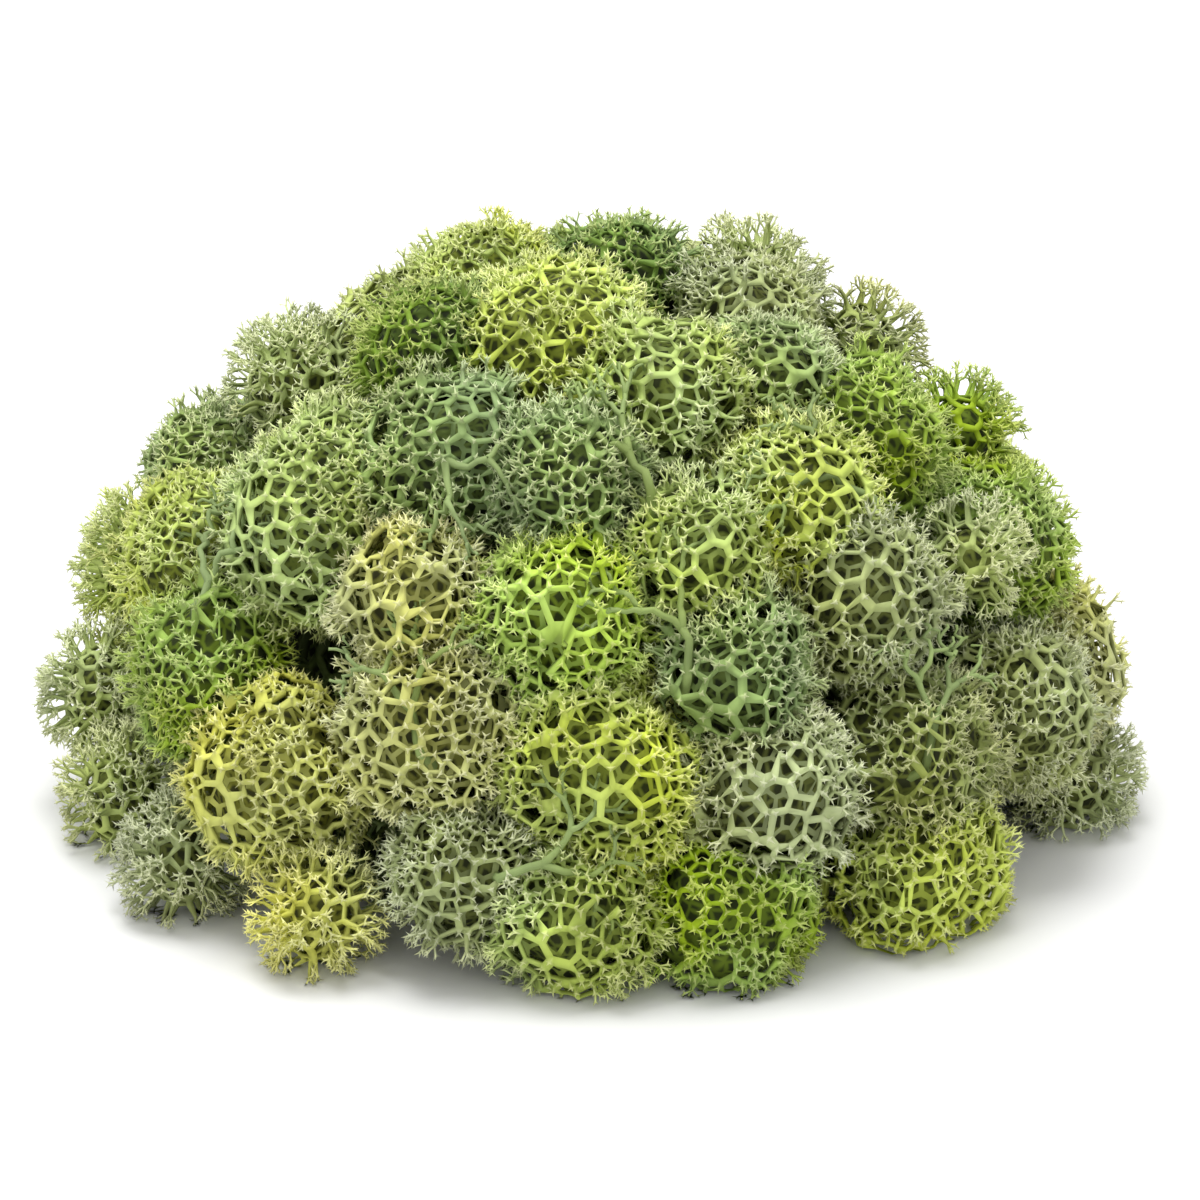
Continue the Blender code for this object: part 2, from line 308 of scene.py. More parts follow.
# %% Grow twigs from faces
STRAIGHT, OUTWARD, CROOKED = 0.85, 0.35, 0.18  # what a branch follows: its face, the head, chance
LENGTHS = (0.65, 1.25)  # shortest and longest branch of a step, as shares of its length
SPREAD = 0.5  # height of a poked end, as a share of its width
TIP_HEIGHTS = (0.75, 1.0, 1.3)
TIP_REACH = 1.0


def move_end(face, place, way, thickness):
    """Sets the end of a branch square to its way, at a place, with a given thickness."""
    middle = face.calc_center_median()
    for vert in face.verts:
        spoke = vert.co - middle
        spoke -= way * spoke.dot(way)
        vert.co = place + spoke.normalized() * thickness / 2


def add_tips(bm, faces, tip, layer, draw):
    """Ends each branch in a pointed tip of one of three heights."""
    shuffled = faces[:]
    draw.shuffle(shuffled)
    third = len(shuffled) // 3 + 1
    groups = (shuffled[:third], shuffled[third:2 * third], shuffled[2 * third:])
    for group, height in zip(groups, TIP_HEIGHTS):
        if group:
            for vert in bmesh.ops.poke(bm, faces=group, offset=tip * height)["verts"]:
                vert[layer] = TIP_REACH


def sprout(bm, faces, centre, steps, tip, layer, draw):
    """Grows twigs. Each step is (length, thickness, share of branches that go on, reach value)."""
    for length, thickness, going_on, value in steps:
        ends = bmesh.ops.extrude_discrete_faces(bm, faces=faces)["faces"]
        widths = []
        for face in ends:
            middle = face.calc_center_median()
            radial = (middle - centre).normalized()
            shake = random_step(draw)
            way = (face.normal * STRAIGHT + radial * OUTWARD + shake * CROOKED).normalized()
            move_end(face, middle + way * length * draw.uniform(*LENGTHS), way, thickness)
            for vert in face.verts:
                vert[layer] = value
            widths.append(math.sqrt(face.calc_area()))
        spread = SPREAD * sum(widths) / len(widths)
        faces = bmesh.ops.poke(bm, faces=ends, offset=spread)["faces"]
        if going_on < 1:
            faces = [face for face in faces if draw.random() < going_on]
        if not faces:
            return
    add_tips(bm, faces, tip, layer, draw)


# %% [markdown]
# ## Habits
#
# Three habits cover what the photograph shows: `lace` has wide rings at its crown, `tuft` is dense
# all over, and `antler` is a small net with long, open forks. The heads at the `back`, out of
# sight, are a coarser lace. Writing a habit down as numbers lets one function weave all the heads.

# %% Choose a habit for each head
TUFTS = {
    "lime_crown", "deep_sage", "deep_green", "lime_top", "slate_shoulder", "teal_small",
    "lime_shoulder", "bluegreen_side", "moss_green", "green_flank", "olive_cushion", "green_foot",
}
ANTLERS = {
    "sage_crest", "olive_crest", "pale_crest", "pale_flank", "sage_edge", "sage_foot_left",
    "green_fork", "sage_antler", "grey_foot_right", "grey_foot_left", "yellow_foot",
}

# Each habit gives the net, the second net and the core as shares of the reach of the head, the
# rings at the pole and the rim and half a strut in mm, the share of short edges left out, the
# degrees round the pole with few twigs, the share of junctions that grow twigs at all, whether
# some of the twigs are long forks, the steps of a twig with its lengths in mm, and its tip in mm.
HABITS = {
    "lace": dict(
        net=0.95, under=0.80, core=0.68, pole=4.4, rim=1.38, strut=0.20, missing=0.13,
        bare=18, grow=1.0, long=True, steps=((0.7, 0.52, 1.0, 0.75),), tip=0.95,
    ),
    "tuft": dict(
        net=0.93, under=None, core=0.78, pole=2.0, rim=1.45, strut=0.20, missing=0.13,
        bare=0, grow=1.0, long=True, steps=((0.85, 0.50, 1.0, 0.75),), tip=1.05,
    ),
    "antler": dict(
        net=0.57, under=None, core=0.42, pole=4.6, rim=4.0, strut=0.34, missing=0.0,
        bare=0, grow=0.85, long=False,
        steps=((2.6, 0.75, 0.85, 0.5), (1.8, 0.56, 0.9, 0.7), (1.0, 0.44, 1.0, 0.85)), tip=0.85,
    ),
    "back": dict(
        net=0.95, under=None, core=0.80, pole=4.4, rim=2.35, strut=0.24, missing=0.1,
        bare=12, grow=1.0, long=True, steps=((0.95, 0.56, 1.0, 0.75),), tip=1.15,
    ),
}

# These heads stand at the outline and reach farther than in CAD, by the factor given.
FARTHER = {
    "pale_flank": 1.32, "sage_crest": 1.30, "pale_crest": 1.06, "lime_crown": 1.05,
    "grey_foot_right": 1.18, "grey_foot_left": 1.15, "sage_edge": 1.05,
}


def habit_of(name):
    """The name of the habit of a head."""
    if name.startswith("back_"):
        return "back"
    if name in TUFTS:
        return "tuft"
    return "antler" if name in ANTLERS else "lace"


habits_in_use = [habit_of(name) for name in head_names]
print({habit: habits_in_use.count(habit) for habit in HABITS})

# %% [markdown]
# ## The shape of a head
#
# A head isn't a plain ball. It is a cushion of several smaller ones, wider than it is deep, with
# waves of three sizes on it. The distance to the nearest lobe gives the cushions, and Blender's
# noise gives the waves. Every layer of a head swells by this one rule, so none pokes through the
# next.

# %% Swell a ball
LOBE_THROWS = 60
LOBE_SPACING = 0.85  # angle between lobes, in radians
LOBE_SWELL = 0.17
LOBE_MIDDLE = 0.35  # a place with this much bulge neither swells nor shrinks
SIDE_SWELL = 0.15
SMALLER = 0.90  # leaves room inside the reach for what swells
NOISE_STEP = 3.1  # heads stand this far apart in the noise, so that no two are alike
WAVES = ((0.14, 1.6, 1), (0.06, 5.3, 1), (0.05, 12.7, -1))  # height, fineness, side of the noise


def lobes_of(generator):
    """The directions in which a head bulges."""
    directions = random_ways(generator, LOBE_THROWS)
    kept = spread_points(np.full(LOBE_THROWS, LOBE_SPACING), directions)
    return [Vector(way) for way in kept]


def lumpy(head, way):
    """How far a head reaches in a direction, as a share of its radius."""
    seed = head.index * NOISE_STEP
    shift = Vector((seed, 0.37 * seed, 1.7 * seed))
    nearest = min(way.angle(lobe) for lobe in head.lobes)
    bulge = math.cos(min(nearest / LOBE_SPACING, 1) * math.pi / 2)
    waves = 0.0
    for height, fineness, side in WAVES:
        waves += height * noise.noise(way * fineness + shift * side)
    sideways = 1 - way.dot(head.out) ** 2
    return SMALLER + SIDE_SWELL * sideways + LOBE_SWELL * (bulge - LOBE_MIDDLE) + waves


# %% [markdown]
# ## What stays out of sight
#
# About half of each ball lies in its neighbours, in the pile or under the table. Deleting those
# faces leaves the triangles for what is seen, and keeps one lace from running far into another.
#
# New faces would fill the gaps of deleted ones in an order that changes from run to run, and the
# random twigs would change with it. So the mesh is copied, because a copy has no gaps.

# %% Delete the hidden part and copy the rest
WALL_MARGIN = 0.8 * MM
FLOOR = 0.5 * MM
CEILING = cad_box[1][2] + 2.8 * MM
INNER_SIDE = 0.55  # depth below the middle of a head, in radii, from which nothing is seen


def delete_faces(bm, gone):
    """The mesh without some of its faces, as a copy in which no gaps are left."""
    bmesh.ops.delete(bm, geom=gone, context="FACES")
    fresh = bm.copy()
    bm.free()
    return fresh


def without_hidden(bm, index):
    """The mesh without what lies in a neighbour, in the pile or under the resting plane."""
    points = np.array([face.calc_center_median() for face in bm.faces])
    hidden = (beyond_walls(index, points) > WALL_MARGIN) | (points[:, 2] < FLOOR)
    outward = balls[head_names[index]][2]
    inward = (points - centres[index]) @ outward < -INNER_SIDE * reaches[index]
    return delete_faces(bm, [face for face, drop in zip(bm.faces[:], hidden | inward) if drop])


# %% [markdown]
# ## Walls for the holes
#
# A flat strut looks like paper. Extruding each hole a little way into the head and deleting its
# cap leaves walls round it, and smooth shading then makes the struts look round. The bottom of each
# wall is painted with shade, which darkens it towards the inside of the head.

# %% Turn the holes down
HOLE_FLARE = 1.12
STEEPEST = 0.9  # deepest wall, as a share of the width of its hole
# reach value of the deepest painted shade: bottoms of hole walls, cores and the dome of the mat
PAINTED_SHADE_REACH = 0.0


def wall_holes(bm, cells, centre, depth, layer):
    """Turns each hole down into the head, so that struts have sides."""
    caps = bmesh.ops.extrude_discrete_faces(bm, faces=cells)["faces"]
    for face in caps:
        middle = face.calc_center_median()
        deep = min(depth, STEEPEST * math.sqrt(face.calc_area()))
        down = (centre - middle).normalized() * deep
        for vert in face.verts:
            vert.co = middle + (vert.co - middle) * HOLE_FLARE + down
            # painted shade at the bottom of the wall
            vert[layer] = PAINTED_SHADE_REACH
    bmesh.ops.delete(bm, geom=caps, context="FACES_ONLY")


# %% [markdown]
# ## Twigs of a head
#
# Most twigs are short, but in patches on the flanks of a head half of them are long forks, which
# make its outline ragged. The crown has few twigs, so that its wide rings stay clear. On an
# `antler` head all the forks are long already, and the places picked for longer ones stay bare,
# which opens gaps between its branches.

# %% Grow the twigs of a head
CROWN_TWIGS = 0.25  # share of the junctions at the crown that grow a twig all the same
LONG_STEPS = ((1.9 * MM, 0.62 * MM, 1.0, 0.6), (1.3 * MM, 0.50 * MM, 1.0, 0.8))
LONG_TIP = 0.9 * MM
LONG_SHARE = 0.5
PATCH_FINENESS = 2.6
PATCH_STEP = 2.3  # the patches of two heads lie this far apart in the noise
PATCH_EDGE = 0.05  # noise above this is a patch
FLANK = 0.85  # cosine of the angle from the outward direction where the flank begins


def is_long(head, face, draw):
    """Longer forks grow in patches, on the flanks of a head."""
    way = (face.calc_center_median() - head.centre).normalized()
    patch = noise.noise(way * PATCH_FINENESS + Vector((0, head.index * PATCH_STEP, 0)))
    return patch > PATCH_EDGE and way.dot(head.out) < FLANK and draw.random() < LONG_SHARE


def grow_twigs(head, bm, junctions, crown, layer, draw):
    """Grows the short twigs of a head and then its long forks."""
    habit = head.habit
    bare = math.cos(math.radians(habit["bare"]))
    growing = [
        face for face in junctions
        if (face.calc_center_median() - head.centre).normalized().dot(crown) < bare
        or draw.random() < CROWN_TWIGS
    ]
    growing = [face for face in growing if draw.random() < habit["grow"]]
    long_ones = [face for face in growing if is_long(head, face, draw)]
    picked = set(long_ones)
    short_ones = [face for face in growing if face not in picked]
    steps = [
        (length * MM, wide * MM, share, value) for length, wide, share, value in habit["steps"]
    ]
    sprout(bm, short_ones, head.centre, steps, habit["tip"] * MM, layer, draw)
    if long_ones and habit["long"]:
        sprout(bm, long_ones, head.centre, LONG_STEPS, LONG_TIP, layer, draw)


# %% [markdown]
# ## Under the lace
#
# Through the rings of a crown one sees deeper branches, and behind them only shade. A second,
# plainer net inside the first stands for the branches, and its colour is painted part way into
# shade. A dark ball with a pattern of its own closes the view: its finish is painted shade, which
# costs far less than modelling the tangle that fills a real head.

# %% Weave the second net and the core
UNDER_SEED = 500
UNDER_THROWS = 3000
UNDER_PITCHES = (1.8, 3.6)  # narrowest and widest ring, in mm
UNDER_STRUT = 0.34 * MM
UNDER_ROUNDNESS, UNDER_HOLE = 0.5, 0.95
DIP, DIP_FINENESS = 0.10, 4.0  # waves of its own
# reach value of the second net, below that of the lace, so that it is painted into shade
UNDER_SHADE_REACH = 0.25
# the second slot holds the painted shade of the hollows
HOLLOW = 1  # the second material slot of a piece


def under_layer(head, radius):
    """The second net, which shows through the holes of the first, as a mesh."""
    generator = np.random.default_rng(UNDER_SEED + head.index)
    directions = random_ways(generator, UNDER_THROWS)
    pitch = generator.uniform(*UNDER_PITCHES, len(directions)) * MM / radius
    bm = net_of(spread_points(pitch, directions))
    cells, _ = cut_holes(bm, UNDER_STRUT / radius)
    for face in cells:
        round_hole(face, UNDER_ROUNDNESS, UNDER_HOLE)
    bmesh.ops.delete(bm, geom=cells, context="FACES_ONLY")
    layer = bm.verts.layers.float["reach"]
    for vert in bm.verts:
        way = vert.co.normalized()
        dip = 1 + DIP * noise.noise(way * DIP_FINENESS + Vector((head.index, 0, 0)))
        vert.co = head.centre + way * radius * lumpy(head, way) * dip
        vert[layer] = UNDER_SHADE_REACH
    bm = without_hidden(bm, head.index)
    mesh = bpy.data.meshes.new("under")
    bm.to_mesh(mesh)
    bm.free()
    return mesh


def mark_hollow(bm, lace):
    """Shades all faces smooth, and gives those outside the lace the second material, of painted
    shade.
    """
    for face in bm.faces:
        face.smooth = True
        if face not in lace:
            face.material_index = HOLLOW


def add_core(head, bm):
    """Adds the dark ball inside a head, which takes the painted shade of the second finish."""
    layer = bm.verts.layers.float["reach"]
    lace = set(bm.faces)
    made = bmesh.ops.create_icosphere(
        bm, subdivisions=3, radius=head.reach * head.habit["core"],
        matrix=Matrix.Translation(head.centre),
    )["verts"]
    for vert in made:
        way = (vert.co - head.centre).normalized()
        vert.co = head.centre + (vert.co - head.centre) * lumpy(head, way)
        vert[layer] = PAINTED_SHADE_REACH
    mark_hollow(bm, lace)


# %% [markdown]
# ## One head
#
# Everything comes together here. The net is wrapped over the lumpy ball, its hidden part is cut
# away, the holes get walls, the junctions sprout, and the second net and the core go in. The
# crowns turn a little towards the viewer, because the photograph shows so many of their wide rings.

# %% Weave a head
HEAD_SEED = 100
VIEWER = np.array([0.0, -0.92, 0.38])  # the direction from the clump to the camera
TURNED_AWAY = -0.2  # heads that face the viewer less than this keep their crowns outward
TOWARDS_VIEWER = 0.5
POLE_CHANCE = 0.3
LONGEST_MISSING = 1.5  # mm, so that only short edges are left out
SHAKE = 0.15
ROUNDNESS = 0.65
NARROWING, WIDEST = 0.055, 3.0  # share that each mm of width narrows a hole by, up to this width
WALL_DEPTH = 0.8 * MM
LACE_REACH = 0.45
HOLE, JUNCTION = 1, 2  # values in the cell layer


def crown_pole(outward, generator):
    """The middle of a crown: outward, turned towards the viewer, with some chance in it."""
    pole = outward.copy()
    if outward @ VIEWER > TURNED_AWAY:
        pole += TOWARDS_VIEWER * VIEWER
    pole += generator.normal(size=3) * POLE_CHANCE
    return pole / np.linalg.norm(pole)


def wrapped_net(head, pole, generator, draw):
    """The net of a head with its holes and junctions marked, as (mesh, number of cells)."""
    habit = head.habit
    directions = ring_directions(
        head.index, head.reach, pole, habit["pole"] * MM, habit["rim"] * MM, generator
    )
    bm = net_of(directions)
    unit = MM / (head.reach * habit["net"])
    break_net(bm, habit["missing"], LONGEST_MISSING * unit, draw)
    shake_net(bm, SHAKE, draw)
    cells, junctions = cut_holes(bm, habit["strut"] * unit)
    for face in cells:
        size = math.sqrt(face.calc_area()) / unit
        round_hole(face, ROUNDNESS, 1 - NARROWING * min(size, WIDEST))
    for vert in bm.verts:
        way = vert.co.normalized()
        vert.co = head.centre + way * head.reach * habit["net"] * lumpy(head, way)
    mark = bm.faces.layers.int["cell"]
    for faces, kind in ((cells, HOLE), (junctions, JUNCTION)):
        for face in faces:
            face[mark] = kind
    return without_hidden(bm, head.index), len(directions)


def marked(bm, kind):
    """The faces with a value in the cell layer."""
    mark = bm.faces.layers.int["cell"]
    return [face for face in bm.faces if face[mark] == kind]


def weave_head(name):
    """A whole head, as (mesh, number of cells all round, number of junctions in sight)."""
    index = head_names.index(name)
    centre, reach, outward = balls[name]
    generator = np.random.default_rng(HEAD_SEED + index)
    draw = random.Random(HEAD_SEED + index)
    pole = crown_pole(outward, generator)
    head = SimpleNamespace(
        index=index, centre=Vector(centre), reach=reach * FARTHER.get(name, 1),
        out=Vector(outward), habit=HABITS[habit_of(name)], lobes=lobes_of(generator),
    )
    bm, cell_count = wrapped_net(head, pole, generator, draw)
    layer = bm.verts.layers.float["reach"]
    for vert in bm.verts:
        vert[layer] = LACE_REACH
    cells = marked(bm, HOLE)
    junctions = marked(bm, JUNCTION)
    wall_holes(bm, cells, head.centre, WALL_DEPTH, layer)
    bm.normal_update()
    grow_twigs(head, bm, junctions, Vector(pole), layer, draw)
    if head.habit["under"]:
        second = under_layer(head, head.reach * head.habit["under"])
        bm.from_mesh(second)
        bpy.data.meshes.remove(second)
    add_core(head, bm)
    for vert in bm.verts:
        vert.co.z = min(max(vert.co.z, FLOOR), CEILING)
    return bm, cell_count, len(junctions)


# %% [markdown]
# ## All heads
#
# Each head becomes an object of its own, named after the CAD node that it will replace. The seeds
# come from the place of a head in the list of names, so every run weaves the same pile.

# %% Weave them all


def triangles_in(bm):
    """How many triangles the faces of a mesh come to."""
    return sum(len(face.verts) - 2 for face in bm.faces)


def new_object(name, bm):
    """An object in the scene, from a mesh that is used up."""
    mesh = bpy.data.meshes.new(name)
    bm.to_mesh(mesh)
    bm.free()
    made = bpy.data.objects.new(name, mesh)
    bpy.context.scene.collection.objects.link(made)
    return made


heads = {}
total = 0
for name in head_names:
    bm, cell_count, fork_count = weave_head(name)
    triangles = triangles_in(bm)
    total += triangles
    heads[name] = new_object(f"moss_{name}", bm)
    counts = f"{cell_count:4d} cells {fork_count:4d} forks {triangles:6d} triangles"
    print(f"{name:16s} {habit_of(name):6s} {counts}")
print("triangles in all heads:", total)

# %% [markdown]
# ## Bare stems
#
# Here and there a thick old stem without tips comes up between the heads, bends over them and
# forks. A curve with a round profile is the plain way to make one: it only needs points and a
# radius at each. The points creep over the dome of the pile, a little below its surface, so that a
# stem dives under a head and comes out again.

# %% Lay the bare stems
STEMS = (
    # degrees around the pile and up from the table, and the heading in degrees; the first five
    # stand where the photograph shows thick stems, and the others are guessed
    (-13, 14, 15), (9, 53, 100), (11, 34, 95), (-20, 25, 110), (-38, 58, 0), (38, 20, 60),
    (-58, 30, 80), (48, 48, 140), (150, 30, 90), (-140, 35, 70), (180, 55, 20),
)
STEM_SEED = 11
STEM_LENGTH = 11 * MM
STEM_THICKNESS = 1.9 * MM
STEM_FORKS = 4
STEM_PARTS = 4  # straight parts between two forks
STEM_START = 9 * MM  # how deep a stem begins
STEM_SUNK = 3.0 * MM
SUNK_RANGE = (0.4, 1.3)
STEM_BEND = 14  # most degrees from one part to the next
FORK_ANGLES = (24, 44)
SHORTER, THINNER = 0.7, 0.76  # a branch against the stem that it leaves
TAPER = 0.07  # radius lost with each part
SWOLLEN = 1.25  # radius at a fork


def on_dome(point, sunk):
    """The point moved straight in or out to the dome of the pile, less the depth sunk."""
    share = Vector(part / size for part, size in zip(point, cad_box[1])).length
    return point / share - point.normalized() * sunk


def lay_stem(curve, start, heading, length, thickness, forks, draw):
    """Adds a bare stem that runs over the dome and forks at its end."""
    points = [start]
    for _ in range(STEM_PARTS):
        up = points[-1].normalized()
        ahead = heading - up * heading.dot(up)
        turn = Matrix.Rotation(math.radians(draw.uniform(-STEM_BEND, STEM_BEND)), 3, up)
        heading = (turn @ ahead).normalized()
        sunk = STEM_SUNK * draw.uniform(*SUNK_RANGE)
        points.append(on_dome(points[-1] + heading * length / STEM_PARTS, sunk))
    spline = curve.splines.new("POLY")
    spline.points.add(len(points) - 1)
    for number, (place, point) in enumerate(zip(spline.points, points)):
        swollen = SWOLLEN if number in (0, STEM_PARTS) else 1
        place.co = (*point, 1)
        place.radius = thickness / 2 * (1 - TAPER * number) * swollen
    if forks == 0:
        return
    for side in (-1, 1):
        up = points[-1].normalized()
        turn = Matrix.Rotation(math.radians(side * draw.uniform(*FORK_ANGLES)), 3, up)
        lay_stem(
            curve, points[-1], turn @ heading, length * SHORTER, thickness * THINNER,
            forks - 1, draw,
        )


def bare_stems():
    """All bare stems as one mesh."""
    curve = bpy.data.curves.new("stems", "CURVE")
    curve.dimensions = "3D"
    curve.bevel_depth = 1
    curve.bevel_resolution = 1
    curve.use_fill_caps = True
    draw = random.Random(STEM_SEED)
    for around, up, heading in STEMS:
        turn, rise, tilt = math.radians(around), math.radians(up), math.radians(heading)
        east = Vector((math.cos(turn), math.sin(turn), 0))
        south, height = math.cos(rise), math.sin(rise)
        way = Vector((south * math.sin(turn), -south * math.cos(turn), height))
        north = way.cross(east)
        first = east * math.cos(tilt) + north * math.sin(tilt)
        start = on_dome(way, STEM_START)
        lay_stem(curve, start, first, STEM_LENGTH, STEM_THICKNESS, STEM_FORKS, draw)
    holder = bpy.data.objects.new("stems", curve)
    bpy.context.scene.collection.objects.link(holder)
    graph = bpy.context.evaluated_depsgraph_get()
    mesh = bpy.data.meshes.new_from_object(holder.evaluated_get(graph))
    bpy.data.objects.remove(holder)
    bpy.data.curves.remove(curve)
    return mesh


# %% [markdown]
# ## The mat of stems
#
# Between the heads one looks down on older stems. They lie in shade, so a coarse net of thick
# struts over a dark dome is enough, with forked stumps on some of its junctions. The dome, the net
# and the lower stumps are painted shade: the dome takes the second finish, and the net and stumps
# get reach values below that of the lace. The bare stems belong to the mat too, because they grow
# out of it.

# %% Weave the mat
MAT_SEED = 7
MAT_THROWS = 9000
MAT_SHARE = 0.97  # of the CAD mat
MAT_PITCHES = (4.0, 7.5)  # narrowest and widest ring, in mm
MAT_STRUT = 0.6 * MM
MAT_ROUNDNESS, MAT_HOLE = 0.6, 0.95
MAT_WAVES, MAT_FINENESS = 0.05, 9
MAT_WALL = 1.6 * MM
MAT_CORE = 0.955  # of the net of the mat
STUMPS = 0.3  # share of the junctions that carry one
STUMP_FLOOR = 6 * MM  # none grows lower than this
# the last number of each step is its reach value; the low ones paint the stumps into shade
STUMP_STEPS = (
    (5.0 * MM, 1.7 * MM, 0.7, 0.35), (4.0 * MM, 1.3 * MM, 0.7, 0.4), (3.0 * MM, 1.0 * MM, 0.7, 0.5),
)
STUMP_TIP = 2.0 * MM
# reach value of the net of the mat, below that of the lace, so the net is painted into shade
MAT_SHADE_REACH = 0.35
STEM_REACH = 0.55


def stretched(way, half):
    """A point of the unit ball moved to a ball with three different half widths."""
    return Vector((way.x * half.x, way.y * half.y, way.z * half.z))


def mat_net(half, middle):
    """The net of the mat above the table, with its holes marked."""
    generator = np.random.default_rng(MAT_SEED)
    directions = random_ways(generator, MAT_THROWS)
    pitch = generator.uniform(*MAT_PITCHES, len(directions)) * MM / half.x
    bm = net_of(spread_points(pitch, directions))
    cells, _ = cut_holes(bm, MAT_STRUT / half.x)
    for face in cells:
        round_hole(face, MAT_ROUNDNESS, MAT_HOLE)
    mark = bm.faces.layers.int["cell"]
    for face in cells:
        face[mark] = HOLE
    for vert in bm.verts:
        way = vert.co.normalized()
        swell = 1 + MAT_WAVES * noise.noise(way * MAT_FINENESS)
        vert.co = middle + stretched(way, half) * swell
    below = [face for face in bm.faces if face.calc_center_median().z < FLOOR]
    return delete_faces(bm, below)


def add_stumps(bm, middle, layer):
    """Grows forked stumps on some junctions of the mat."""
    draw = random.Random(MAT_SEED)
    joints = [face for face in marked(bm, 0) if len(face.verts) == 3]
    stumps = [
        face for face in joints
        if draw.random() < STUMPS and face.calc_center_median().z > STUMP_FLOOR
    ]
    sprout(bm, stumps, middle, STUMP_STEPS, STUMP_TIP, layer, draw)


def weave_mat():
    """The whole mat: net, stumps, bare stems and dark dome of painted shade."""
    points = node_points(MAT)
    low, high = points.min(axis=0), points.max(axis=0)
    half = Vector(((high[0] - low[0]) / 2, (high[1] - low[1]) / 2, high[2])) * MAT_SHARE
    middle = Vector(((high[0] + low[0]) / 2, (high[1] + low[1]) / 2, 0))
    bm = mat_net(half, middle)
    layer = bm.verts.layers.float["reach"]
    for vert in bm.verts:
        vert[layer] = MAT_SHADE_REACH
    wall_holes(bm, marked(bm, HOLE), middle, MAT_WALL, layer)
    bm.normal_update()
    add_stumps(bm, middle, layer)
    older = set(bm.verts)
    stems = bare_stems()
    bm.from_mesh(stems)
    bpy.data.meshes.remove(stems)
    layer = bm.verts.layers.float["reach"]
    for vert in bm.verts:
        if vert not in older:
            vert[layer] = STEM_REACH
    lace = set(bm.faces)
    dome = bmesh.ops.create_icosphere(bm, subdivisions=4, radius=1)["verts"]
    for vert in dome:
        vert.co = middle + stretched(vert.co.normalized(), half) * MAT_CORE
        vert[layer] = PAINTED_SHADE_REACH
    for vert in bm.verts:
        vert.co.z = max(vert.co.z, FLOOR)
    mark_hollow(bm, lace)
    return bm


mat_bm = weave_mat()
print("mat:", triangles_in(mat_bm), "triangles")
mat = new_object("moss_stem_mat", mat_bm)

# %% [markdown]
# ## Colours
#
# Old branches are a greyish green and growing tips a yellowish cream. Each batch of heads was dyed
# or dried a little differently, which gives one pair of colours for each tint. The `shaded` pair is
# painted shade instead, darker colours for the mat of stems that lies in shade between the heads.
# The colours are written as a screen shows them, because those values are the easy ones to judge,
# and are turned into the linear values that shaders work with. Painted shade inside a head takes
# more of the blue than of the rest.

# %% List the tints
TINTS = {
    # tint: (branches, tips), as screen values from 0 to 255
    "lime": ((188, 204, 92), (230, 235, 160)),
    "deep": ((116, 146, 58), (196, 209, 134)),
    "sage": ((172, 186, 106), (224, 228, 178)),
    "grey": ((162, 173, 108), (217, 221, 180)),
    "olive": ((150, 162, 84), (212, 214, 160)),
    "mint": ((172, 192, 102), (224, 231, 168)),
    "blue": ((152, 174, 100), (216, 223, 170)),
    "green": ((146, 174, 54), (206, 219, 132)),
    "vivid": ((174, 202, 66), (222, 233, 136)),
    "teal": ((136, 160, 92), (210, 219, 164)),
    "cream": ((188, 191, 112), (235, 234, 180)),
    "straw": ((206, 209, 104), (237, 236, 166)),
    "ivory": ((180, 191, 128), (230, 233, 190)),
    # painted shade: darker colours for the stems of the mat, which lie in shade
    "shaded": ((126, 146, 80), (172, 188, 122)),
}
SHADE_KEEPS = (0.95, 0.95, 0.55)  # what shade leaves of red, green and blue


def linear(screen):
    """A screen colour as the linear values that shaders use."""
    values = [part / 255 for part in screen]
    return tuple(v / 12.92 if v <= 0.04045 else ((v + 0.055) / 1.055) ** 2.4 for v in values)


def shade(colour, amount):
    """A darker colour, which also loses more of its blue than of its red and green."""
    return (*[amount * part * keep for part, keep in zip(colour, SHADE_KEEPS)], 1)


print(len(TINTS), "tints are listed")

# %% [markdown]
# ## The finish of the lace
#
# The lichen is matte. Its colour follows the `reach` value that was stored on each vertex, through
# a ramp from painted shade over branches to tips. Two noises in object coordinates break the tint
# up, as on the real thing: a broad one shifts hue and saturation, and a finer one lightens and
# darkens it.

# %% Mix the finish of the lace
LACE_ROUGHNESS = 0.78
DEEP_SHADE = 0.28
NOISES = {"broad": dict(Scale=38.0, Detail=1.0), "patches": dict(Scale=90.0, Detail=3.0)}
CHANGES = (
    # what changes, by which noise, over which of its values, and from what to what
    ("Hue", "broad", (0.35, 0.65), (0.508, 0.492)),
    ("Saturation", "broad", (0.35, 0.65), (0.9, 1.12)),
    ("Value", "patches", (0.3, 0.7), (0.72, 1.22)),
)


def add_node(tree, kind, **inputs):
    """Adds a shader node and sets its inputs. An underscore stands for a space in their names."""
    node = tree.nodes.new(kind)
    for key, value in inputs.items():
        node.inputs[key.replace("_", " ")].default_value = value
    return node


def new_finish(name, roughness):
    """A new material, as (material, node tree, its shader, object coordinates)."""
    material = bpy.data.materials.new(name)
    material.use_nodes = True
    tree = material.node_tree
    shader = tree.nodes["Principled BSDF"]
    shader.inputs["Roughness"].default_value = roughness
    coordinates = tree.nodes.new("ShaderNodeTexCoord")
    return material, tree, shader, coordinates.outputs["Object"]


